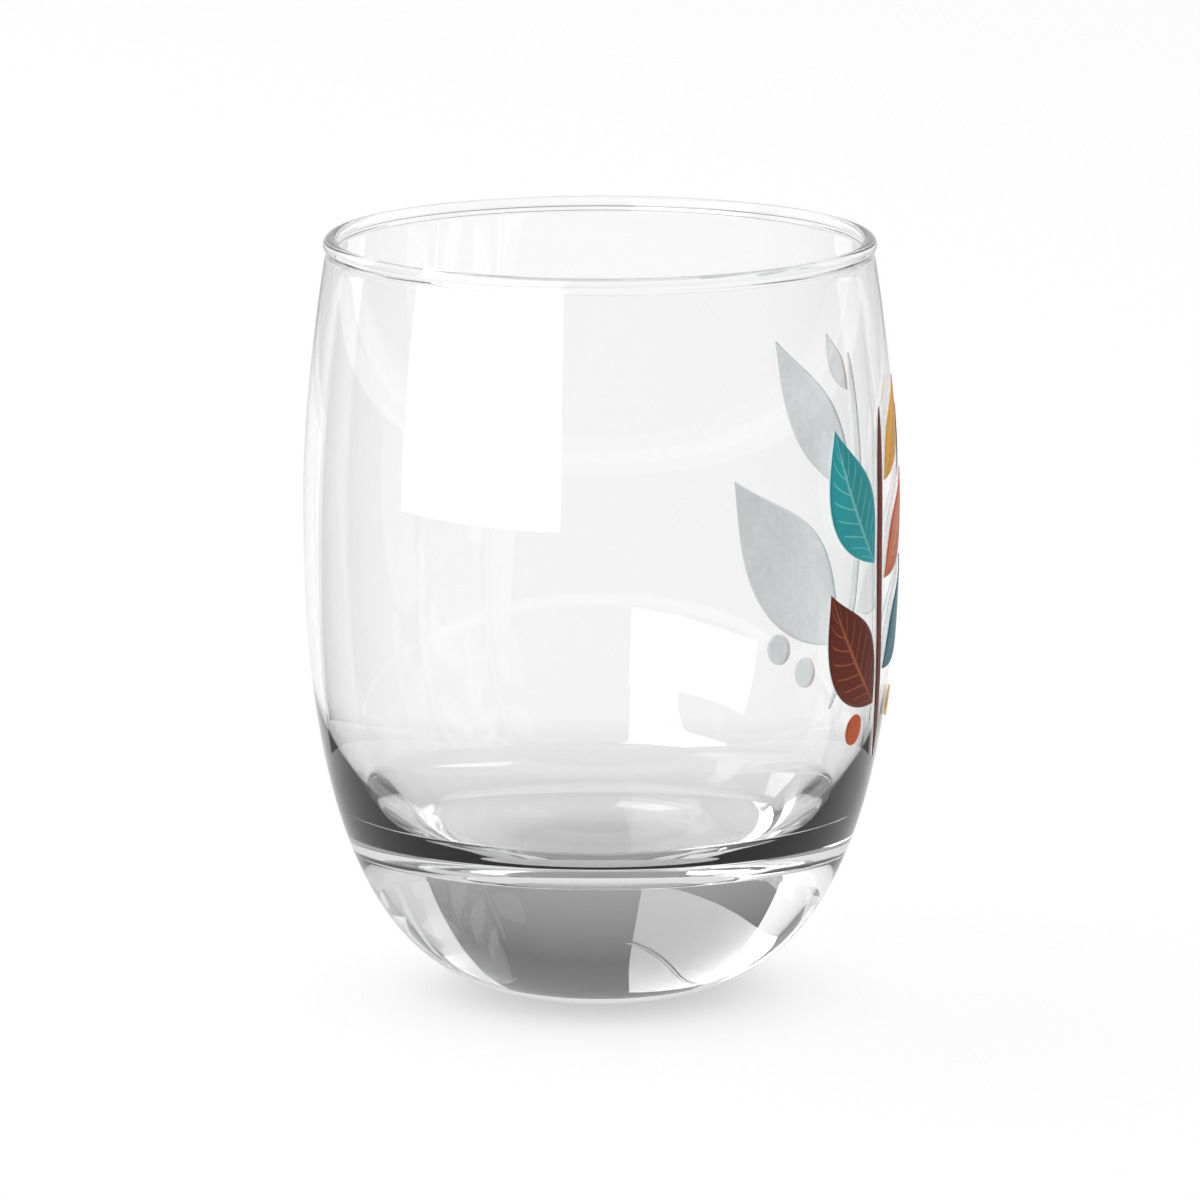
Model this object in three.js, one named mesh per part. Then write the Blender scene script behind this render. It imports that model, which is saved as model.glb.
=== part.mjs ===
// Barrel-shaped whisky glass: one moulded glass piece with a leafy sprig printed on its wall.
// Millimetres, +Z up. The origin is the centre of the foot, and the print faces -Y.

import * as THREE from 'three';

// Outside of the glass
const glassHeight = 83.1;
const bellyRadius = 32.3;
const bellyHeight = 53.8;
const neckRadius = 29.75;
const footRadius = 9.0;
const shoulderPower = 1.75;
const basePowerAlong = 2.41;
const basePowerAcross = 3.2;

// Rolled bead on the rim
const beadRadius = 0.8;
const beadOverhang = 0.22;
const neckLength = 0.4;

// Inside of the glass
const wallThickness = 1.15;
const lowerWallThickness = 2.4;
const baseThickness = 16.75;
const floorRadius = 19.5;
const cornerRise = 4.7;
const thickeningRise = 17.75;
const thickeningPower = 2.3;
const neckThickeningPower = 2;
const cornerPull = 0.3;

// Print on the wall
const printHeight = 43;
const printBelowNeck = 11;
const printFacing = -Math.PI / 2;
const whiteThickness = 0.08;
const inkThickness = 0.08;
const filmClearance = 0.08;
const whiteInset = 0.25;
const stemWidth = 1.3;
const berryRadius = 1.7;
const leafBend = 0.12;
const leafGap = 0.9;
const leafBellyPower = 0.88;
const leafRoundPower = 1.15;
const stemBluntPower = 8;

// Fineness of the facets
const turnSegments = 72;
const baseSteps = 14;
const baseCrowding = 2;
const shoulderSteps = 8;
const beadSteps = 8;
const wallSteps = 12;
const cornerSteps = 8;
const filmCell = 2.5;
const filmSteps = 10;

// Colours
const inks = {
  teal: 0x20a3a8,
  darkTeal: 0x0f5f73,
  rust: 0x6b2412,
  orange: 0xc8561c,
  gold: 0xe8a82a,
};
const inkNames = { teal: 'teal', darkTeal: 'dark_teal', rust: 'rust', orange: 'orange', gold: 'gold' };
const underPrintColour = 0xdfe4e3;
const glassColour = 0xf4f8f8;

// Heights that follow from the sizes above
const beadHeight = glassHeight - beadRadius;
const beadCentreRadius = neckRadius + beadOverhang - beadRadius;
const neckHeight = beadHeight - beadRadius - neckLength;
const innerNeckRadius = beadCentreRadius - beadRadius;
const neckWall = neckRadius - innerNeckRadius;
const cornerTop = baseThickness + cornerRise;
const thickeningTop = baseThickness + thickeningRise;

// The base is a full, rounded curve that the foot cuts off flat. Its pole lies a little below the foot.
const footCut = 1 - (1 - (footRadius / bellyRadius) ** basePowerAcross) ** (1 / basePowerAlong);
const poleDepth = bellyHeight * footCut / (1 - footCut);

function outerRadius(height) {
  if (height >= bellyHeight) {
    const climb = (height - bellyHeight) / (neckHeight - bellyHeight);
    return bellyRadius - (bellyRadius - neckRadius) * climb ** shoulderPower;
  }
  const drop = (bellyHeight - height) / (bellyHeight + poleDepth);
  return bellyRadius * (1 - drop ** basePowerAlong) ** (1 / basePowerAcross);
}

// The wall is thinnest at the belly, and thickens to the bead above and to the base below.
function wallAt(height) {
  const climb = Math.max(0, (height - bellyHeight) / (neckHeight - bellyHeight));
  const sink = Math.max(0, (thickeningTop - height) / (thickeningTop - cornerTop));
  const upperExtra = (neckWall - wallThickness) * climb ** neckThickeningPower;
  const lowerExtra = (lowerWallThickness - wallThickness) * sink ** thickeningPower;
  return wallThickness + upperExtra + lowerExtra;
}

function innerRadius(height) {
  return outerRadius(height) - wallAt(height);
}

// Slope of a radius against height, for tangents and normals
function slopeOf(radiusAt, height) {
  const step = 0.01;
  return (radiusAt(height + step) - radiusAt(height - step)) / (2 * step);
}

// Glass body: the profile runs from the foot up the outside, over the bead and down the inside.
function glassProfile() {
  const points = [new THREE.Vector2(0, 0), new THREE.Vector2(footRadius, 0)];
  for (let step = 1; step <= baseSteps; step += 1) {
    const height = bellyHeight * (step / baseSteps) ** baseCrowding;
    points.push(new THREE.Vector2(outerRadius(height), height));
  }
  for (let step = 1; step <= shoulderSteps; step += 1) {
    const height = bellyHeight + (neckHeight - bellyHeight) * step / shoulderSteps;
    points.push(new THREE.Vector2(outerRadius(height), height));
  }

  const beadStart = -Math.acos((neckRadius - beadCentreRadius) / beadRadius);
  const bead = new THREE.Path();
  bead.absarc(beadCentreRadius, beadHeight, beadRadius, beadStart, Math.PI, false);
  points.push(...bead.getSpacedPoints(beadSteps));

  for (let step = 0; step <= wallSteps; step += 1) {
    const height = neckHeight + (cornerTop - neckHeight) * step / wallSteps;
    points.push(new THREE.Vector2(innerRadius(height), height));
  }

  const wallEnd = new THREE.Vector2(innerRadius(cornerTop), cornerTop);
  const floorEdge = new THREE.Vector2(floorRadius, baseThickness);
  const meeting = new THREE.Vector2(
    wallEnd.x - cornerRise * slopeOf(innerRadius, cornerTop),
    baseThickness,
  );
  const corner = new THREE.CubicBezierCurve(
    wallEnd,
    wallEnd.clone().lerp(meeting, cornerPull),
    floorEdge.clone().lerp(meeting, cornerPull),
    floorEdge,
  );
  points.push(...corner.getPoints(cornerSteps).slice(1));
  points.push(new THREE.Vector2(0, baseThickness));
  return points;
}

function glassBody() {
  const geometry = new THREE.LatheGeometry(glassProfile(), turnSegments);
  geometry.rotateX(Math.PI / 2);
  const material = new THREE.MeshStandardMaterial({
    color: glassColour,
    roughness: 0.02,
    metalness: 0,
    transparent: true,
    opacity: 0.3,
  });
  const mesh = new THREE.Mesh(geometry, material);
  mesh.name = 'glass_body';
  return mesh;
}

// Print: a place on the wall, given along the wall, up from the print's lower edge, and out from the glass
const printBottom = neckHeight - printBelowNeck - printHeight;

function onWall(along, up, lift) {
  const height = printBottom + up;
  const turn = printFacing + along / bellyRadius;
  const slope = slopeOf(outerRadius, height);
  const slant = Math.hypot(1, slope);
  const radius = outerRadius(height) + lift / slant;
  return [radius * Math.cos(turn), radius * Math.sin(turn), height - lift * slope / slant];
}

// Half-widths of the printed forms along their length, as shares of the full half-width
const forms = {
  leaf: (share) => Math.sin(Math.PI * share ** leafBellyPower) ** leafRoundPower,
  stem: (share) => 1 - Math.abs(2 * share - 1) ** stemBluntPower,
  berry: (share) => Math.sqrt(Math.max(0, 1 - (2 * share - 1) ** 2)),
};

// The middle line of a printed form, from its base to its tip, bowed to its left by a share of its length
function spineOf({ base, tip, bend }) {
  const across = tip.clone().sub(base).rotateAround(new THREE.Vector2(), Math.PI / 2);
  const middle = base.clone().lerp(tip, 0.5).addScaledVector(across, bend);
  return new THREE.QuadraticBezierCurve(base, middle, tip);
}

// Rows of points across a printed form, from its base to its tip. Both ends close in a point.
function formRows(motif, inset) {
  const spine = spineOf(motif);
  const length = spine.getLength();
  const halfWidth = motif.width / 2 - inset;
  const steps = Math.max(filmSteps, Math.ceil(length / filmCell));
  const cells = Math.ceil(motif.width / filmCell);
  const rows = [];
  for (let step = 0; step <= steps; step += 1) {
    const share = (1 - Math.cos(Math.PI * step / steps)) / 2;
    const run = (inset + share * (length - 2 * inset)) / length;
    const centre = spine.getPoint(run);
    const heading = spine.getTangent(run);
    const isEnd = step === 0 || step === steps;
    const reach = isEnd ? 0 : halfWidth * forms[motif.form](share);
    const row = [];
    for (let cell = 0; cell <= cells; cell += 1) {
      const side = reach * (2 * cell / cells - 1);
      row.push([centre.x + heading.y * side, centre.y - heading.x * side]);
    }
    rows.push(isEnd ? [row[0]] : row);
  }
  return rows;
}

// A closed film over those rows, from one height above the glass to another
function filmGeometry(rows, innerLift, outerLift) {
  const positions = [];
  const layers = [innerLift, outerLift].map((lift) => rows.map((row) => row.map(([along, up]) => {
    positions.push(...onWall(along, up, lift));
    return positions.length / 3 - 1;
  })));
  const [inner, outer] = layers;
  const faces = [];
  const addQuad = (a, b, c, d) => faces.push(a, b, c, a, c, d);

  const cells = rows[1].length - 1;
  const last = rows.length - 1;
  for (let cell = 0; cell < cells; cell += 1) {
    faces.push(outer[0][0], outer[1][cell + 1], outer[1][cell]);
    faces.push(inner[0][0], inner[1][cell], inner[1][cell + 1]);
    faces.push(outer[last][0], outer[last - 1][cell], outer[last - 1][cell + 1]);
    faces.push(inner[last][0], inner[last - 1][cell + 1], inner[last - 1][cell]);
  }
  for (let row = 1; row < last - 1; row += 1) {
    for (let cell = 0; cell < cells; cell += 1) {
      addQuad(outer[row][cell], outer[row][cell + 1], outer[row + 1][cell + 1], outer[row + 1][cell]);
      addQuad(inner[row][cell + 1], inner[row][cell], inner[row + 1][cell], inner[row + 1][cell + 1]);
    }
  }
  for (let row = 0; row < last; row += 1) {
    const next = row + 1;
    addQuad(inner[row].at(0), outer[row].at(0), outer[next].at(0), inner[next].at(0));
    addQuad(outer[row].at(-1), inner[row].at(-1), inner[next].at(-1), outer[next].at(-1));
  }

  const geometry = new THREE.BufferGeometry();
  geometry.setAttribute('position', new THREE.Float32BufferAttribute(positions, 3));
  geometry.setIndex(faces);
  geometry.computeVertexNormals();
  return geometry;
}

function filmMesh(name, geometry, colour) {
  const material = new THREE.MeshStandardMaterial({ color: colour, roughness: 0.35, metalness: 0 });
  const mesh = new THREE.Mesh(geometry, material);
  mesh.name = name;
  return mesh;
}

// Places and sizes in the design are hundredths of the print's height, from its middle and its lower edge.
const hundredth = printHeight / 100;

function inPrint(along, up) {
  return new THREE.Vector2(along, up).multiplyScalar(hundredth);
}

// A stem, with its leaves set against it at shares of its length, on its left or right
function sprig(name, ink, base, tip, leaves) {
  const stem = { name: `stem_${name}`, form: 'stem', ink, base, tip, bend: leafBend, width: stemWidth };
  const spine = spineOf(stem);
  const grown = leaves.map(({ ink: leafInk, at, side, lean, length, width }) => {
    const heading = spine.getTangent(at);
    const reach = side * (stemWidth / 2 + leafGap);
    const start = spine.getPoint(at).add(new THREE.Vector2(heading.y, -heading.x).multiplyScalar(reach));
    const angle = THREE.MathUtils.degToRad(lean);
    const grow = inPrint(side * length * Math.cos(angle), length * Math.sin(angle));
    return {
      name: `leaf_${inkNames[leafInk]}_${name}`,
      form: 'leaf',
      ink: leafInk,
      base: start,
      tip: start.clone().add(grow),
      bend: -side * leafBend,
      width: width * hundredth,
    };
  });
  return [stem, ...grown];
}

function berry(name, ink, centre) {
  return {
    name: `berry_${inkNames[ink]}_${name}`,
    form: 'berry',
    ink,
    base: new THREE.Vector2(centre.x, centre.y - berryRadius),
    tip: new THREE.Vector2(centre.x, centre.y + berryRadius),
    bend: 0,
    width: 2 * berryRadius,
  };
}

// The print: two sprigs and loose berries
const left = -1;
const right = 1;
const motifs = [
  ...sprig('left', 'rust', inPrint(-34, 1), inPrint(-40, 91), [
    { ink: 'rust', at: 0.18, side: left, lean: 52, length: 40, width: 20 },
    { ink: 'darkTeal', at: 0.25, side: right, lean: 45, length: 35, width: 15 },
    { ink: 'orange', at: 0.52, side: right, lean: 48, length: 33, width: 13 },
    { ink: 'teal', at: 0.58, side: left, lean: 64, length: 40, width: 19 },
    { ink: 'gold', at: 0.8, side: right, lean: 56, length: 29, width: 11 },
  ]),
  ...sprig('right', 'darkTeal', inPrint(26, 1), inPrint(21, 95), [
    { ink: 'teal', at: 0.18, side: right, lean: 41, length: 56, width: 29 },
    { ink: 'gold', at: 0.3, side: left, lean: 46, length: 35, width: 13 },
    { ink: 'rust', at: 0.6, side: left, lean: 53, length: 37, width: 14 },
    { ink: 'darkTeal', at: 0.62, side: right, lean: 47, length: 47, width: 19 },
    { ink: 'orange', at: 0.9, side: right, lean: 55, length: 16, width: 7.5 },
  ]),
  berry('left', 'orange', inPrint(-52, 11)),
  berry('left', 'gold', inPrint(-22, 13)),
  berry('right', 'teal', inPrint(9, 14)),
  berry('right', 'orange', inPrint(40, 8.5)),
  berry('right', 'gold', inPrint(51, 13)),
];

const glass = new THREE.Group();
glass.add(glassBody());
for (const motif of motifs) {
  const whiteTop = filmClearance + whiteThickness;
  const inkBottom = whiteTop + filmClearance;
  const white = filmGeometry(formRows(motif, whiteInset), filmClearance, whiteTop);
  const ink = filmGeometry(formRows(motif, 0), inkBottom, inkBottom + inkThickness);
  glass.add(filmMesh(`white_under_${motif.name}`, white, underPrintColour));
  glass.add(filmMesh(motif.name, ink, inks[motif.ink]));
}

export default glass;
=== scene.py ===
# A barrel-shaped whisky glass with a printed leaf design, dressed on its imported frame.
# Metres, +Z up. The origin is the centre of the foot, and the print faces -Y.
import math

import bpy
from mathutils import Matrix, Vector
from mathutils.geometry import interpolate_bezier


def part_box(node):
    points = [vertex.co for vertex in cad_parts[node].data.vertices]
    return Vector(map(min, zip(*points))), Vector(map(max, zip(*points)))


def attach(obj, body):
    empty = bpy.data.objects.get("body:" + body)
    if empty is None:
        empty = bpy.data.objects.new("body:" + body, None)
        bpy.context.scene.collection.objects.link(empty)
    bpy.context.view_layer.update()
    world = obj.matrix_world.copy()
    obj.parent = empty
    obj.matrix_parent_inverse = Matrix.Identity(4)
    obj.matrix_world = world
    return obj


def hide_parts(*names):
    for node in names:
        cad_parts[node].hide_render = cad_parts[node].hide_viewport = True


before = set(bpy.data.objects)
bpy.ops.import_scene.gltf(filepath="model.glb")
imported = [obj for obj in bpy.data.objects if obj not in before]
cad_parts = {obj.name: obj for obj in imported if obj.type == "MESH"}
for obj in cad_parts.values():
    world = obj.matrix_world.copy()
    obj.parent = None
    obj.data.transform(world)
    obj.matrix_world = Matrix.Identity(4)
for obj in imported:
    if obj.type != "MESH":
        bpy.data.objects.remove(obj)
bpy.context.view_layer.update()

# Glass body
# One piece of clear soda-lime glass: a thick rounded base, a thin barrel wall and a fire-polished bead.
# It is blown in a turning mould, so every section is round, and the wall keeps a faint waviness.
scene = bpy.context.scene
mm = 0.001
glass_height = 83.1 * mm
belly_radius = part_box("glass_body")[1].x
belly_height = 53.8 * mm
foot_radius = 9.0 * mm
foot_edge = 0.2 * mm
base_power_along = 2.41
base_power_across = 3.2
shoulder_power = 1.75
neck_radius = 29.75 * mm
neck_length = 0.4 * mm
neck_pull = 0.45
neck_lean_depth = 1.0 * mm
bead_radius = 0.8 * mm
bead_overhang = 0.22 * mm
bead_inner_overhang = 0.4 * mm
bead_start = math.radians(-20)
bead_end = math.radians(215)
wall_thickness = 1.15 * mm
lower_wall_thickness = 2.4 * mm
base_thickness = 16.75 * mm
floor_radius = 19.5 * mm
corner_rise = 4.7 * mm
corner_pull = 0.3
thickening_rise = 17.75 * mm
thickening_power = 2.3
thinning_power = 2
base_steps = 56
base_crowding = 2
shoulder_steps = 30
neck_steps = 8
bead_steps = 28
wall_steps = 48
corner_steps = 28
lathe_segments = 288
axis_gap = 0.001 * mm
axis_merge = 0.003 * mm
glass_tint = (0.998, 1.0, 0.999, 1)
glass_ior = 1.5
wave_scale = 55.0
wave_detail = 1.0
wave_strength = 0.004
wave_height = 1.0 * mm
haze_scale = 140.0
haze_detail = 3.0
haze_range = (0.45, 0.8)
haze_roughness = (0.0, 0.003)
light_let_through = ((10 * mm, 0.5), (16 * mm, 0.74), (20 * mm, 0.95), (26 * mm, 0.99))

bead_height = glass_height - bead_radius
bead_centre_radius = neck_radius + bead_overhang - bead_radius
neck_height = bead_height - bead_radius - neck_length
inner_neck_radius = bead_centre_radius - bead_radius + bead_inner_overhang
neck_wall = neck_radius - inner_neck_radius
corner_top = base_thickness + corner_rise
thickening_top = base_thickness + thickening_rise
foot_share = (1 - (foot_radius / belly_radius) ** base_power_across) ** (1 / base_power_along)
pole_depth = belly_height * (1 - foot_share) / foot_share


def outer_radius(height):
    """The outside: a full rounded base up to the belly, and a shoulder that draws in to the neck."""
    if height >= belly_height:
        climb = (height - belly_height) / (neck_height - belly_height)
        return belly_radius - (belly_radius - neck_radius) * climb**shoulder_power
    drop = (belly_height - height) / (belly_height + pole_depth)
    return belly_radius * (1 - drop**base_power_along) ** (1 / base_power_across)


def inner_radius(height):
    """The inside: the wall thins a little from the belly up to the neck, and thickens down to the base."""
    climb = max(0, (height - belly_height) / (neck_height - belly_height))
    sink = max(0, (thickening_top - height) / (thickening_top - corner_top))
    upper_change = (neck_wall - wall_thickness) * climb**thinning_power
    lower_change = (lower_wall_thickness - wall_thickness) * sink**thickening_power
    return outer_radius(height) - wall_thickness - upper_change - lower_change


def lean_of(radius_at, height):
    """Change of a radius with height."""
    step = 0.01 * mm
    return (radius_at(height + step) - radius_at(height - step)) / (2 * step)


def bead_point(angle):
    """A point on the bead's round section."""
    return Vector((
        bead_centre_radius + bead_radius * math.cos(angle),
        bead_height + bead_radius * math.sin(angle),
    ))


def neck_curve(radius_at, angle):
    """The wall's last stretch, from the neck to where the bead stands out from it."""
    neck = Vector((radius_at(neck_height), neck_height))
    bead_foot = bead_point(angle)
    reach = (bead_foot - neck).length * neck_pull
    wall_rise = Vector((lean_of(radius_at, neck_height - neck_lean_depth), 1)).normalized()
    bead_rise = Vector((-math.sin(angle), math.cos(angle))) * math.copysign(1, math.cos(angle))
    return interpolate_bezier(
        neck, neck + wall_rise * reach, bead_foot - bead_rise * reach, bead_foot, neck_steps + 1
    )


def glass_profile():
    """(radius, height) from the foot's centre up the outside, over the bead and down to the bowl's floor."""
    points = [Vector((0, 0)), Vector((foot_radius - foot_edge, 0)), Vector((foot_radius, 0))]
    for step in range(1, base_steps + 1):
        height = belly_height * (step / base_steps) ** base_crowding
        points.append(Vector((outer_radius(height), height)))
    for step in range(1, shoulder_steps + 1):
        height = belly_height + (neck_height - belly_height) * step / shoulder_steps
        points.append(Vector((outer_radius(height), height)))

    points += neck_curve(outer_radius, bead_start)[1:]
    for step in range(1, bead_steps + 1):
        points.append(bead_point(bead_start + (bead_end - bead_start) * step / bead_steps))
    points += neck_curve(inner_radius, bead_end)[-2:0:-1]

    for step in range(wall_steps + 1):
        height = neck_height + (corner_top - neck_height) * step / wall_steps
        points.append(Vector((inner_radius(height), height)))

    wall_end = points[-1]
    floor_edge = Vector((floor_radius, base_thickness))
    meeting = Vector((wall_end.x - corner_rise * lean_of(inner_radius, corner_top), base_thickness))
    wall_handle = wall_end.lerp(meeting, corner_pull)
    floor_handle = floor_edge.lerp(meeting, corner_pull)
    points += interpolate_bezier(wall_end, wall_handle, floor_handle, floor_edge, corner_steps + 1)[1:]
    points.append(Vector((0, base_thickness)))
    return points


def add_node(tree, kind, inputs=None, **properties):
    """A node whose inputs take plain values, or links from other nodes' sockets."""
    node = tree.nodes.new(kind)
    for name, value in properties.items():
        setattr(node, name, value)
    for name, value in (inputs or {}).items():
        if isinstance(value, bpy.types.NodeSocket):
            tree.links.new(value, node.inputs[name])
        else:
            node.inputs[name].default_value = value
    return node


def maths(tree, operation, *values):
    """The result of a sum on values or sockets."""
    return add_node(tree, "ShaderNodeMath", dict(enumerate(values)), operation=operation).outputs[0]


def remap(tree, value, given_range, wanted_range):
    """A value brought from one range to another, and held within it."""
    return add_node(tree, "ShaderNodeMapRange", {
        "Value": value,
        "From Min": given_range[0],
        "From Max": given_range[1],
        "To Min": wanted_range[0],
        "To Max": wanted_range[1],
    }).outputs["Result"]


def noise(tree, place, scale, detail):
    """A cloudy value, mostly near 0.5."""
    inputs = {"Vector": place, "Scale": scale, "Detail": detail}
    return add_node(tree, "ShaderNodeTexNoise", inputs).outputs["Fac"]


def grey(shade):
    """A neutral colour."""
    return (shade, shade, shade, 1)


def grey_ramp(tree, value, stops):
    """Greys along a value that runs from 0 to 1. Each stop is a place and a shade, in rising order."""
    ramp = add_node(tree, "ShaderNodeValToRGB", {"Fac": value})
    steps = ramp.color_ramp.elements
    steps.remove(steps[1])
    steps[0].position = stops[0][0]
    steps[0].color = grey(stops[0][1])
    for place, shade in stops[1:]:
        steps.new(place).color = grey(shade)
    return ramp.outputs["Color"]


def new_geometry_tree(name, sizes):
    """A geometry tree with a mesh in, a mesh out and named inputs, and its input node's sockets."""
    tree = bpy.data.node_groups.new(name, "GeometryNodeTree")
    tree.interface.new_socket("Mesh", in_out="INPUT", socket_type="NodeSocketGeometry")
    for label, kind in sizes.items():
        tree.interface.new_socket(label, in_out="INPUT", socket_type=kind)
    tree.interface.new_socket("Mesh", in_out="OUTPUT", socket_type="NodeSocketGeometry")
    return tree, tree.nodes.new("NodeGroupInput").outputs


def finish_tree(tree, geometry, material):
    """Ends a geometry tree: real geometry in one material."""
    real = add_node(tree, "GeometryNodeRealizeInstances", {"Geometry": geometry})
    finished = add_node(tree, "GeometryNodeSetMaterial", {
        "Geometry": real.outputs["Geometry"],
        "Material": material,
    })
    add_node(tree, "NodeGroupOutput", {"Mesh": finished.outputs["Geometry"]})


def run_tree(tree, source, values, name):
    """Runs a geometry tree on a source mesh, and keeps the result as a plain mesh object of that name."""
    drawing = bpy.data.objects.new(name + "_drawing", source)
    scene.collection.objects.link(drawing)
    modifier = drawing.modifiers.new(tree.name, "NODES")
    modifier.node_group = tree
    for socket in tree.interface.items_tree:
        if socket.in_out == "INPUT" and socket.name in values:
            modifier[socket.identifier] = values[socket.name]
    depsgraph = bpy.context.evaluated_depsgraph_get()
    made = bpy.data.meshes.new_from_object(drawing.evaluated_get(depsgraph))
    drawing.modifiers.remove(modifier)
    bpy.data.objects.remove(drawing)
    made.name = name
    piece = bpy.data.objects.new(name, made)
    scene.collection.objects.link(piece)
    return piece


def lathe_tree():
    """Turns a profile about Z. Its X is the radius, and its Y runs down the axis."""
    tree, given = new_geometry_tree("turned on the axis", {
        "Segments": "NodeSocketInt",
        "Axis Gap": "NodeSocketFloat",
        "Merge Distance": "NodeSocketFloat",
        "Material": "NodeSocketMaterial",
    })
    profile = add_node(tree, "GeometryNodeMeshToCurve", {"Mesh": given["Mesh"]})
    axis = add_node(tree, "GeometryNodeCurvePrimitiveCircle", {
        "Resolution": given["Segments"],
        "Radius": given["Axis Gap"],
    })
    turned = add_node(tree, "GeometryNodeCurveToMesh", {
        "Curve": axis.outputs["Curve"],
        "Profile Curve": profile.outputs["Curve"],
    })
    closed = add_node(tree, "GeometryNodeMergeByDistance", {
        "Geometry": turned.outputs["Mesh"],
        "Distance": given["Merge Distance"],
    })
    outward = add_node(tree, "GeometryNodeFlipFaces", {"Mesh": closed.outputs["Geometry"]})
    smooth = add_node(tree, "GeometryNodeSetShadeSmooth", {"Geometry": outward.outputs["Mesh"]})
    finish_tree(tree, smooth.outputs["Geometry"], given["Material"])
    return tree


def new_material(name):
    """An empty material and its node tree."""
    material = bpy.data.materials.new(name)
    material.use_nodes = True
    material.node_tree.nodes.clear()
    return material, material.node_tree


def clear_glass():
    """Clear glass with a faint mould waviness. Soft light passes it, least through the thick base."""
    material, tree = new_material("clear glass")
    place = add_node(tree, "ShaderNodeTexCoord").outputs["Object"]
    ripple = add_node(tree, "ShaderNodeBump", {
        "Strength": wave_strength,
        "Distance": wave_height,
        "Height": noise(tree, place, wave_scale, wave_detail),
    })
    haze = noise(tree, place, haze_scale, haze_detail)
    clear = add_node(tree, "ShaderNodeBsdfPrincipled", {
        "Base Color": glass_tint,
        "Roughness": remap(tree, haze, haze_range, haze_roughness),
        "IOR": glass_ior,
        "Transmission Weight": 1.0,
        "Normal": ripple.outputs["Normal"],
    })
    across = add_node(tree, "ShaderNodeVectorMath", {
        0: place,
        1: (1 / belly_radius, 1 / belly_radius, 0),
    }, operation="MULTIPLY")
    from_axis = add_node(tree, "ShaderNodeVectorMath", {0: across.outputs["Vector"]}, operation="LENGTH")
    stops = [(radius / belly_radius, share) for radius, share in light_let_through]
    open_way = add_node(tree, "ShaderNodeBsdfTransparent", {
        "Color": grey_ramp(tree, from_axis.outputs["Value"], stops),
    })
    path = add_node(tree, "ShaderNodeLightPath").outputs
    surface = add_node(tree, "ShaderNodeMixShader", {
        0: maths(tree, "MAXIMUM", path["Is Shadow Ray"], path["Is Diffuse Ray"]),
        1: clear.outputs["BSDF"],
        2: open_way.outputs["BSDF"],
    })
    add_node(tree, "ShaderNodeOutputMaterial", {"Surface": surface.outputs["Shader"]})
    return material


profile_points = glass_profile()
profile_mesh = bpy.data.meshes.new("glass_profile")
profile_mesh.from_pydata(
    [(point.x, -point.y, 0) for point in profile_points],
    [(first, first + 1) for first in range(len(profile_points) - 1)],
    [],
)
glass = run_tree(lathe_tree(), profile_mesh, {
    "Segments": lathe_segments,
    "Axis Gap": axis_gap,
    "Merge Distance": axis_merge,
    "Material": clear_glass(),
}, "glass")
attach(glass, "root")
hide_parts("glass_body")

# Stem of the left sprig
# A film of rust enamel on a white under-print, both screen-printed on the wall and fused to it in a kiln.
# Each film is drawn flat, in lengths along the wall and up it, and then laid on the barrel.
print_height = 43 * mm
print_below_neck = 11 * mm
print_bottom = neck_height - print_below_neck - print_height
print_facing = -math.pi / 2
ground_lift = 0.08 * mm
ground_thickness = 0.14 * mm
ink_lift = 0.23 * mm
ink_thickness = 0.09 * mm
film_cell = 0.5 * mm
least_film_rows = 16
least_film_cells = 4
film_seam = 0.001 * mm
ray_start = 0.1
ray_length = 0.2
stem_width = 1.3 * mm
stem_bend = 0.12
stem_blunt_power = 8
rust = (0.147, 0.018, 0.006, 1)
under_white = (0.86, 0.89, 0.89, 1)
vein_line = (0.035, 0.075)
vein_sweep = 0.2
veins_per_side = 9.0
side_vein_end = (0.72, 0.86)
side_vein_strength = 0.85
leaf_fold = (0.49, 0.51)
far_half_darker = 0.16
grain_scale = 1400.0
grain_detail = 2.0
grain_shades = (0.95, 1.04)
grain_relief = 0.35
mottle_scale = 160.0
mottle_detail = 3.0
mottle_shades = (0.93, 1.06)
noise_range = (0.3, 0.7)
satin_roughness = (0.4, 0.52)
satin_specular = 0.35
relief_strength = 0.25
relief_height = 0.03 * mm


def in_print(along, up):
    """A place in the design, in hundredths of its height from its middle and its lower edge."""
    return Vector((along, up)) * print_height / 100


def spine_at(base, tip, bend, run):
    """Point and heading on a form's middle line, which bows to its left by a share of its length."""
    reach = tip - base
    middle = base.lerp(tip, 0.5) + Vector((-reach.y, reach.x)) * bend
    first = base.lerp(middle, run)
    second = middle.lerp(tip, run)
    return first.lerp(second, run), (second - first).normalized()


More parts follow.
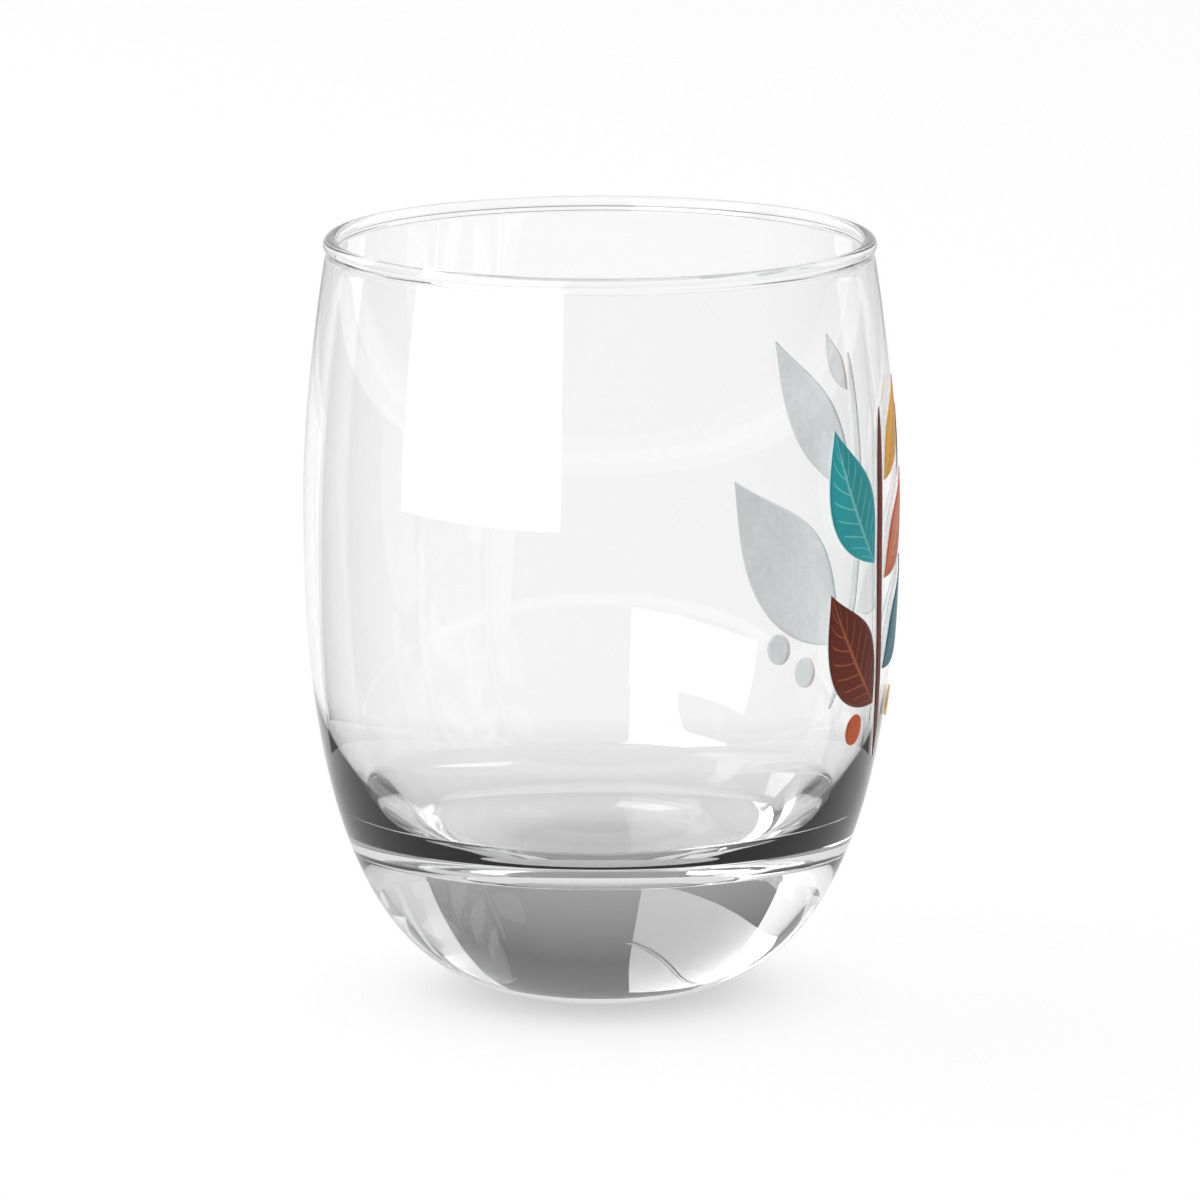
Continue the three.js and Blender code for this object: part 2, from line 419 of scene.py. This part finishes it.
def flat_form(name, base, tip, bend, width, form):
    """A form drawn flat, in rows from its base to its tip, with its length and width as the UV map."""
    steps = max(least_film_rows, round((tip - base).length / film_cell))
    cells = max(least_film_cells, round(width / film_cell))
    points = []
    places = []
    rows = []
    for step in range(steps + 1):
        share = (1 - math.cos(math.pi * step / steps)) / 2
        centre, heading = spine_at(base, tip, bend, share)
        is_end = step in (0, steps)
        row = []
        for cell in ([cells / 2] if is_end else range(cells + 1)):
            side = width / 2 * form(share) * (2 * cell / cells - 1)
            row.append(len(points))
            points.append((centre.x + heading.y * side, centre.y - heading.x * side, 0))
            places.append((share, cell / cells))
        rows.append(row)

    faces = []
    for cell in range(cells):
        faces.append((rows[0][0], rows[1][cell + 1], rows[1][cell]))
        faces.append((rows[-1][0], rows[-2][cell], rows[-2][cell + 1]))
    for low, high in zip(rows[1:-2], rows[2:-1]):
        for cell in range(cells):
            faces.append((low[cell], low[cell + 1], high[cell + 1], high[cell]))
    mesh = bpy.data.meshes.new(name)
    mesh.from_pydata(points, [], faces)
    layer = mesh.uv_layers.new(name="UVMap")
    for loop in mesh.loops:
        layer.data[loop.index].uv = places[loop.vertex_index]
    return mesh


def scaled(tree, vector, factor):
    """A vector times a number."""
    node = add_node(tree, "ShaderNodeVectorMath", {0: vector, "Scale": factor}, operation="SCALE")
    return node.outputs["Vector"]


def film_tree():
    """Lays a flat form on the wall: rays run in to the axis, and the film stands off where they hit."""
    tree, given = new_geometry_tree("film on the wall", {
        "Wall": "NodeSocketObject",
        "Facing": "NodeSocketFloat",
        "Roll Radius": "NodeSocketFloat",
        "Lower Edge": "NodeSocketFloat",
        "Lift": "NodeSocketFloat",
        "Thickness": "NodeSocketFloat",
        "Material": "NodeSocketMaterial",
    })
    flat_place = add_node(tree, "GeometryNodeInputPosition").outputs["Position"]
    drawn = add_node(tree, "ShaderNodeSeparateXYZ", {"Vector": flat_place}).outputs
    turn = maths(tree, "ADD", maths(tree, "DIVIDE", drawn["X"], given["Roll Radius"]), given["Facing"])
    outward = add_node(tree, "ShaderNodeCombineXYZ", {
        "X": maths(tree, "COSINE", turn),
        "Y": maths(tree, "SINE", turn),
    }).outputs[0]
    on_axis = add_node(tree, "ShaderNodeCombineXYZ", {
        "Z": maths(tree, "ADD", drawn["Y"], given["Lower Edge"]),
    }).outputs[0]
    start = add_node(tree, "ShaderNodeVectorMath", {
        0: on_axis,
        1: scaled(tree, outward, ray_start),
    }, operation="ADD")
    wall = add_node(tree, "GeometryNodeObjectInfo", {"Object": given["Wall"]}, transform_space="RELATIVE")
    hit = add_node(tree, "GeometryNodeRaycast", {
        "Target Geometry": wall.outputs["Geometry"],
        "Attribute": add_node(tree, "GeometryNodeInputNormal").outputs["Normal"],
        "Source Position": start.outputs[0],
        "Ray Direction": scaled(tree, outward, -1.0),
        "Ray Length": ray_length,
    }, data_type="FLOAT_VECTOR")
    laid = add_node(tree, "GeometryNodeSetPosition", {
        "Geometry": given["Mesh"],
        "Position": hit.outputs["Hit Position"],
        "Offset": scaled(tree, hit.outputs["Attribute"], given["Lift"]),
    })
    raised = add_node(tree, "GeometryNodeExtrudeMesh", {
        "Mesh": laid.outputs["Geometry"],
        "Offset Scale": given["Thickness"],
        "Individual": False,
    })
    top = add_node(tree, "GeometryNodeSetShadeSmooth", {
        "Geometry": raised.outputs["Mesh"],
        "Selection": raised.outputs["Top"],
    })
    under = add_node(tree, "GeometryNodeFlipFaces", {"Mesh": laid.outputs["Geometry"]})
    under_smooth = add_node(tree, "GeometryNodeSetShadeSmooth", {"Geometry": under.outputs["Mesh"]})
    both = add_node(tree, "GeometryNodeJoinGeometry", {"Geometry": top.outputs["Geometry"]})
    tree.links.new(under_smooth.outputs["Geometry"], both.inputs["Geometry"])
    closed = add_node(tree, "GeometryNodeMergeByDistance", {
        "Geometry": both.outputs["Geometry"],
        "Distance": film_seam,
    })
    finish_tree(tree, closed.outputs["Geometry"], given["Material"])
    return tree


def mixed_colour(tree, share, first, second):
    """A blend of two colours. They are inputs 6 and 7 of a Mix node, and its output 2."""
    return add_node(tree, "ShaderNodeMix", {0: share, 6: first, 7: second}, data_type="RGBA").outputs[2]


def enamel_group():
    """Colour, roughness and relief of a printed enamel film, plain or with a leaf's midrib and veins."""
    group = bpy.data.node_groups.new("printed enamel", "ShaderNodeTree")
    for label, kind in (("Ink", "Color"), ("Vein Ink", "Color"), ("Veins", "Float")):
        group.interface.new_socket(label, in_out="INPUT", socket_type="NodeSocket" + kind)
    for label, kind in (("Color", "Color"), ("Roughness", "Float"), ("Relief", "Float")):
        group.interface.new_socket(label, in_out="OUTPUT", socket_type="NodeSocket" + kind)
    given = group.nodes.new("NodeGroupInput").outputs
    place = add_node(group, "ShaderNodeTexCoord").outputs
    drawn = add_node(group, "ShaderNodeSeparateXYZ", {"Vector": place["UV"]}).outputs
    across = maths(group, "ABSOLUTE", maths(group, "MULTIPLY_ADD", drawn["Y"], 2.0, -1.0))

    midrib = remap(group, across, vein_line, (1.0, 0.0))
    swept = maths(group, "MULTIPLY_ADD", across, -vein_sweep, drawn["X"])
    repeat = maths(group, "PINGPONG", maths(group, "MULTIPLY", swept, veins_per_side), 0.5)
    side_line = remap(group, repeat, vein_line, (1.0, 0.0))
    side_strength = remap(group, across, side_vein_end, (side_vein_strength, 0.0))
    side_veins = maths(group, "MULTIPLY", side_line, side_strength)
    veins = maths(group, "MULTIPLY", maths(group, "MAXIMUM", midrib, side_veins), given["Veins"])

    far_half = remap(group, drawn["Y"], leaf_fold, (0.0, -far_half_darker))
    half_shade = maths(group, "MULTIPLY_ADD", far_half, given["Veins"], 1.0)
    grain = noise(group, place["Object"], grain_scale, grain_detail)
    mottle = noise(group, place["Object"], mottle_scale, mottle_detail)
    grain_shade = remap(group, grain, noise_range, grain_shades)
    mottle_shade = remap(group, mottle, noise_range, mottle_shades)
    fine_shade = maths(group, "MULTIPLY", grain_shade, mottle_shade)
    colour = add_node(group, "ShaderNodeHueSaturation", {
        "Value": maths(group, "MULTIPLY", fine_shade, half_shade),
        "Color": mixed_colour(group, veins, given["Ink"], given["Vein Ink"]),
    })
    add_node(group, "NodeGroupOutput", {
        "Color": colour.outputs["Color"],
        "Roughness": remap(group, mottle, noise_range, satin_roughness),
        "Relief": maths(group, "MULTIPLY_ADD", grain, grain_relief, veins),
    })
    return group


def enamel(name, colour, vein_colour, veins):
    """A satin enamel ink, plain or with veins."""
    material, tree = new_material(name)
    printed = add_node(tree, "ShaderNodeGroup", {
        "Ink": colour,
        "Vein Ink": vein_colour,
        "Veins": veins,
    }, node_tree=enamel_look)
    bump = add_node(tree, "ShaderNodeBump", {
        "Strength": relief_strength,
        "Distance": relief_height,
        "Height": printed.outputs["Relief"],
    })
    ink = add_node(tree, "ShaderNodeBsdfPrincipled", {
        "Base Color": printed.outputs["Color"],
        "Roughness": printed.outputs["Roughness"],
        "Specular IOR Level": satin_specular,
        "Normal": bump.outputs["Normal"],
    })
    add_node(tree, "ShaderNodeOutputMaterial", {"Surface": ink.outputs["BSDF"]})
    return material


def plain_enamel(name, colour):
    """A satin enamel ink with no veins."""
    return enamel(name, colour, colour, 0.0)


def lay_film(name, node, flat, lift, thickness, material, slot):
    """One film on the wall, in the place of its CAD piece."""
    film = run_tree(wall_films, flat, {
        "Wall": glass,
        "Facing": print_facing,
        "Roll Radius": belly_radius,
        "Lower Edge": print_bottom,
        "Lift": lift,
        "Thickness": thickness,
        "Material": material,
    }, name)
    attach(film, "root")
    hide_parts(node)


def lay_print(label, flat, material, slot):
    """A form's white under-print and its ink."""
    ground = (ground_lift, ground_thickness, under_print, "under_print")
    lay_film("ground_" + label, "white_under_" + label, flat, *ground)
    lay_film("ink_" + label, label, flat, ink_lift, ink_thickness, material, slot)


def stem_form(share):
    """A stem's width along its length: even, with blunt rounded ends."""
    return 1 - abs(2 * share - 1) ** stem_blunt_power


enamel_look = enamel_group()
wall_films = film_tree()
under_print = plain_enamel("white under-print", under_white)
rust_ink = plain_enamel("rust enamel", rust)
left_stem = (in_print(-34, 1), in_print(-40, 91), stem_bend)
left_flat = flat_form("stem_left_flat", *left_stem, stem_width, stem_form)
lay_print("stem_left", left_flat, rust_ink, "ink_rust")

# Leaves of the left sprig
# Five leaves of enamel set beside the stem, each with a midrib and side veins in a second shade.
leaf_gap = 0.9 * mm
leaf_bend = 0.12
leaf_belly_power = 0.88
leaf_round_power = 1.15
on_left = -1
on_right = 1
teal = (0.014, 0.366, 0.392, 1)
dark_teal = (0.005, 0.114, 0.171, 1)
orange = (0.578, 0.093, 0.012, 1)
gold = (0.807, 0.392, 0.023, 1)
rust_veins = (0.40, 0.10, 0.03, 1)
teal_veins = (0.20, 0.60, 0.60, 1)
dark_teal_veins = (0.02, 0.30, 0.35, 1)
orange_veins = (0.80, 0.33, 0.05, 1)
gold_veins = (0.60, 0.16, 0.02, 1)


def leaf_form(share):
    """A leaf's width along its length: pointed at both ends and fullest below its middle."""
    return max(0, math.sin(math.pi * share**leaf_belly_power)) ** leaf_round_power


def lay_leaf(label, stem, at, side, lean, length, width, material, slot):
    """A leaf beside its stem, at a share of the stem's length. It leans up by degrees from the level,
    and its length and width are hundredths of the print's height."""
    place, heading = spine_at(*stem, at)
    base = place + Vector((heading.y, -heading.x)) * side * (stem_width / 2 + leaf_gap)
    rise = math.radians(lean)
    tip = base + in_print(side * length * math.cos(rise), length * math.sin(rise))
    leaf_width = width * print_height / 100
    flat = flat_form(label + "_flat", base, tip, -side * leaf_bend, leaf_width, leaf_form)
    lay_print(label, flat, material, slot)


rust_leaf = enamel("rust enamel with veins", rust, rust_veins, 1.0)
dark_teal_leaf = enamel("dark teal enamel with veins", dark_teal, dark_teal_veins, 1.0)
orange_leaf = enamel("orange enamel with veins", orange, orange_veins, 1.0)
teal_leaf = enamel("teal enamel with veins", teal, teal_veins, 1.0)
gold_leaf = enamel("gold enamel with veins", gold, gold_veins, 1.0)
lay_leaf("leaf_rust_left", left_stem, 0.18, on_left, 52, 40, 20, rust_leaf, "ink_rust")
lay_leaf("leaf_dark_teal_left", left_stem, 0.25, on_right, 45, 35, 15, dark_teal_leaf, "ink_dark_teal")
lay_leaf("leaf_orange_left", left_stem, 0.52, on_right, 48, 33, 13, orange_leaf, "ink_orange")
lay_leaf("leaf_teal_left", left_stem, 0.58, on_left, 64, 40, 19, teal_leaf, "ink_teal")
lay_leaf("leaf_gold_left", left_stem, 0.8, on_right, 56, 29, 11, gold_leaf, "ink_gold")

# Berries of the left sprig
# Two round dots of enamel beside the foot of the stem, each on its own white under-print.
berry_radius = 1.7 * mm


def berry_form(share):
    """A berry's width along its height: a circle."""
    return math.sqrt(max(0, 1 - (2 * share - 1) ** 2))


def lay_berry(label, centre, material, slot):
    """A round dot at a place in the design."""
    reach = Vector((0, berry_radius))
    flat = flat_form(label + "_flat", centre - reach, centre + reach, 0, 2 * berry_radius, berry_form)
    lay_print(label, flat, material, slot)


orange_ink = plain_enamel("orange enamel", orange)
gold_ink = plain_enamel("gold enamel", gold)
lay_berry("berry_orange_left", in_print(-52, 11), orange_ink, "ink_orange")
lay_berry("berry_gold_left", in_print(-22, 13), gold_ink, "ink_gold")

# Stem of the right sprig
# A film of dark teal enamel on its white under-print, printed and fired with the rest.
dark_teal_ink = plain_enamel("dark teal enamel", dark_teal)
right_stem = (in_print(26, 1), in_print(21, 95), stem_bend)
right_flat = flat_form("stem_right_flat", *right_stem, stem_width, stem_form)
lay_print("stem_right", right_flat, dark_teal_ink, "ink_dark_teal")

# Leaves of the right sprig
# Five more leaves of the same enamels, the largest low on the right.
lay_leaf("leaf_teal_right", right_stem, 0.18, on_right, 41, 56, 29, teal_leaf, "ink_teal")
lay_leaf("leaf_gold_right", right_stem, 0.3, on_left, 46, 35, 13, gold_leaf, "ink_gold")
lay_leaf("leaf_rust_right", right_stem, 0.6, on_left, 53, 37, 14, rust_leaf, "ink_rust")
lay_leaf("leaf_dark_teal_right", right_stem, 0.62, on_right, 47, 47, 19, dark_teal_leaf, "ink_dark_teal")
lay_leaf("leaf_orange_right", right_stem, 0.9, on_right, 55, 16, 7.5, orange_leaf, "ink_orange")

# Berries of the right sprig
# Three more dots of enamel, on both sides of the second stem's foot.
teal_ink = plain_enamel("teal enamel", teal)
lay_berry("berry_teal_right", in_print(9, 14), teal_ink, "ink_teal")
lay_berry("berry_orange_right", in_print(40, 8.5), orange_ink, "ink_orange")
lay_berry("berry_gold_right", in_print(51, 13), gold_ink, "ink_gold")

# Camera
# A long lens a little above the rim, as a product photographer sets it, with the print at the right edge.
camera_distance = 0.981
camera_azimuth = math.radians(-100)
camera_elevation = math.radians(11.16)
aim = Vector((0, 0, 42.96 * mm))
back = Vector((
    math.sin(camera_azimuth) * math.cos(camera_elevation),
    -math.cos(camera_azimuth) * math.cos(camera_elevation),
    math.sin(camera_elevation),
))
camera = bpy.data.objects.new("camera", bpy.data.cameras.new("camera"))
camera.data.lens = 270
camera.data.sensor_width = 36
camera.data.clip_start = 0.01
camera.location = aim + back * camera_distance
camera.rotation_mode = "QUATERNION"
camera.rotation_quaternion = (-back).to_track_quat("-Z", "Y")
scene.collection.objects.link(camera)
scene.camera = camera

# Floor
# A wide white table top that takes the glass's shadow, and shows the lens a little more than its own white.
# Through the glass, a soft shadow is painted on it round the foot.
floor_reach = 6.0
floor_glow = 0.05
floor_white = 0.8
shade_reach = 112 * mm
# A painted shadow: shares of the table's white by distance from the axis, for the rays that the glass
# brings.
painted_foot_shadow = (
    (9 * mm, 1.0),
    (18 * mm, 0.88),
    (27 * mm, 0.68),
    (50 * mm, 0.77),
    (85 * mm, 0.83),
    (shade_reach, 1.0),
)


def lens_rays(tree):
    """1 for the rays that come straight from the lens, and 1 for those that come from it by the glass."""
    path = add_node(tree, "ShaderNodeLightPath").outputs
    by_glass = maths(tree, "MAXIMUM", path["Is Glossy Ray"], path["Is Transmission Ray"])
    return path["Is Camera Ray"], by_glass


def table_material():
    """Matt white with a faint glow for the lens, and a painted shadow round the foot where the glass shows
    it.
    """
    material, tree = new_material("white table top")
    straight, by_glass = lens_rays(tree)
    seen = maths(tree, "MAXIMUM", straight, by_glass)
    glow = add_node(tree, "ShaderNodeEmission", {"Strength": maths(tree, "MULTIPLY", seen, floor_glow)})
    place = add_node(tree, "ShaderNodeTexCoord").outputs["Object"]
    from_axis = add_node(tree, "ShaderNodeVectorMath", {0: place}, operation="LENGTH").outputs["Value"]
    # The painted shadow: the white made greyer in a ring round the foot.
    stops = [(radius / shade_reach, floor_white * shade) for radius, shade in painted_foot_shadow]
    painted_shadow_grey = grey_ramp(tree, maths(tree, "DIVIDE", from_axis, shade_reach), stops)
    matt = add_node(tree, "ShaderNodeBsdfDiffuse", {
        "Color": mixed_colour(tree, by_glass, grey(floor_white), painted_shadow_grey),
    })
    surface = add_node(tree, "ShaderNodeAddShader", {
        0: glow.outputs["Emission"],
        1: matt.outputs["BSDF"],
    })
    add_node(tree, "ShaderNodeOutputMaterial", {"Surface": surface.outputs["Shader"]})
    return material


floor_mesh = bpy.data.meshes.new("floor")
floor_mesh.from_pydata(
    [(x * floor_reach, y * floor_reach, 0) for x, y in ((-1, -1), (1, -1), (1, 1), (-1, 1))],
    [],
    [(0, 1, 2, 3)],
)
floor_mesh.materials.append(table_material())
table_top = bpy.data.objects.new("floor", floor_mesh)
scene.collection.objects.link(table_top)

# Studio
# Two softboxes and a grey table that only reflections show, panels and a low backdrop behind the glass,
# and lamps for the print and the floor. Turns are degrees round from the camera's side, to its right.
card_steps = 32
table_card_height = 0.5 * mm
softbox_radius = 0.187
back_panel_radius = 0.9
back_panel_top = 1.61
lamp_rise = 35
lamp_distance = 3.0
lamp_size = 2.2


def side_of(turn):
    """The level direction from the glass's axis at a turn."""
    azimuth = camera_azimuth + math.radians(turn)
    return Vector((math.sin(azimuth), -math.cos(azimuth), 0))


def card(name, turns, low_edge, high_edge, brightness, only_mirrored):
    """A curved panel that the glass shows, or only its reflections. An edge is a radius and a height."""
    corners = []
    for step in range(card_steps + 1):
        side = side_of(turns[0] + (turns[1] - turns[0]) * step / card_steps)
        for radius, height in (low_edge, high_edge):
            corners.append((side.x * radius, side.y * radius, height))
    mesh = bpy.data.meshes.new(name)
    mesh.from_pydata(corners, [], [(i, i + 1, i + 3, i + 2) for i in range(0, 2 * card_steps, 2)])

    material, tree = new_material(name)
    material.cycles.emission_sampling = "NONE"
    surface = add_node(tree, "ShaderNodeEmission", {"Strength": brightness}).outputs["Emission"]
    if only_mirrored:
        mirrorings = add_node(tree, "ShaderNodeLightPath").outputs["Glossy Depth"]
        surface = add_node(tree, "ShaderNodeMixShader", {
            0: maths(tree, "MINIMUM", mirrorings, 1.0),
            1: add_node(tree, "ShaderNodeBsdfTransparent").outputs["BSDF"],
            2: surface,
        }).outputs["Shader"]
    add_node(tree, "ShaderNodeOutputMaterial", {"Surface": surface})
    mesh.materials.append(material)

    panel = bpy.data.objects.new(name, mesh)
    panel.visible_camera = False
    panel.visible_diffuse = False
    panel.visible_shadow = False
    scene.collection.objects.link(panel)


def wall_card(name, turns, radius, heights, brightness, only_mirrored=False):
    """A standing panel at a distance from the glass's axis, between two turns and two heights."""
    card(name, turns, (radius, heights[0]), (radius, heights[1]), brightness, only_mirrored)


def table_card(name, turns, radii, brightness, only_mirrored=False):
    """A panel that lies on the table, between two turns and two distances from the glass's axis."""
    near_edge = (radii[0], table_card_height)
    far_edge = (radii[1], table_card_height)
    card(name, turns, near_edge, far_edge, brightness, only_mirrored)


def lamp(name, turn, power):
    """A large soft lamp for the print and the floor, aimed at the glass. The glass doesn't show it."""
    direction = (side_of(turn) + Vector((0, 0, math.tan(math.radians(lamp_rise))))).normalized()
    light = bpy.data.lights.new(name, "AREA")
    light.size = lamp_size
    light.energy = power
    light.use_shadow = False
    source = bpy.data.objects.new(name, light)
    source.location = aim + direction * lamp_distance
    source.rotation_mode = "QUATERNION"
    source.rotation_quaternion = (-direction).to_track_quat("-Z", "Y")
    source.visible_camera = False
    source.visible_glossy = False
    source.visible_transmission = False
    scene.collection.objects.link(source)


wall_card("low softbox", (-76, -14), softbox_radius, (0.036, 0.103), brightness=4.0, only_mirrored=True)
wall_card("high softbox", (-76, -17), softbox_radius, (0.155, 0.4), brightness=6.5, only_mirrored=True)
wall_card("back left panel", (-145, -114), back_panel_radius, (0.06, back_panel_top), brightness=1.1)
wall_card("back right panel", (108, 148), back_panel_radius, (0.15, back_panel_top), brightness=0.7)
wall_card("rim panel", (105, 255), 0.05, (0.0865, 0.125), brightness=1.0)
wall_card("white backdrop", (148, 212), 2.0, (0.0, 0.265), brightness=0.97)
table_card("grey table", (-135, 135), (0.1, 1.5), brightness=0.28, only_mirrored=True)
table_card("grey table behind left", (-172, -135), (0.5, 2.5), brightness=0.75)
table_card("grey table behind right", (135, 172), (0.5, 2.5), brightness=0.75)
lamp("print lamp", 90, power=27.0)
lamp("back lamp", -95, power=56.0)

# Room
# What lies beyond the panels: white to the lens, grey in the glass, darkest at half height.
# The light that it gives the print and the floor is a soft fill from above, a little from behind the glass.
room_greys = ((8, 0.36), (27, 0.14), (48, 0.14), (58, 0.3))
fill_lean = math.radians(14)
fill_spread_power = 4.0
fill_brightness = 2.3
white = (1, 1, 1, 1)

world = bpy.data.worlds.new("studio room")
scene.world = world
world.use_nodes = True
room = world.node_tree
room.nodes.clear()
straight_rays, glass_rays = lens_rays(room)
direction = add_node(room, "ShaderNodeTexCoord").outputs["Generated"]
upward = add_node(room, "ShaderNodeSeparateXYZ", {"Vector": direction}).outputs["Z"]
room_stops = [(math.sin(math.radians(rise)), shade) for rise, shade in room_greys]
grey_room = add_node(room, "ShaderNodeBackground", {"Color": grey_ramp(room, upward, room_stops)})
white_room = add_node(room, "ShaderNodeBackground", {"Color": white})

away = -Vector((back.x, back.y, 0)).normalized()
fill_axis = Vector((0, 0, math.cos(fill_lean))) + away * math.sin(fill_lean)
towards_fill = add_node(room, "ShaderNodeVectorMath", {0: direction, 1: fill_axis}, operation="DOT_PRODUCT")
above = maths(room, "MAXIMUM", towards_fill.outputs["Value"], 0.0)
fill_shade = maths(room, "POWER", above, fill_spread_power)
fill_light = add_node(room, "ShaderNodeBackground", {
    "Color": white,
    "Strength": maths(room, "MULTIPLY", fill_shade, fill_brightness),
})
lit_room = add_node(room, "ShaderNodeMixShader", {
    0: glass_rays,
    1: fill_light.outputs["Background"],
    2: grey_room.outputs["Background"],
})
whole_room = add_node(room, "ShaderNodeMixShader", {
    0: straight_rays,
    1: lit_room.outputs["Shader"],
    2: white_room.outputs["Background"],
})
add_node(room, "ShaderNodeOutputWorld", {"Surface": whole_room.outputs["Shader"]})
scene.view_settings.view_transform = "Standard"
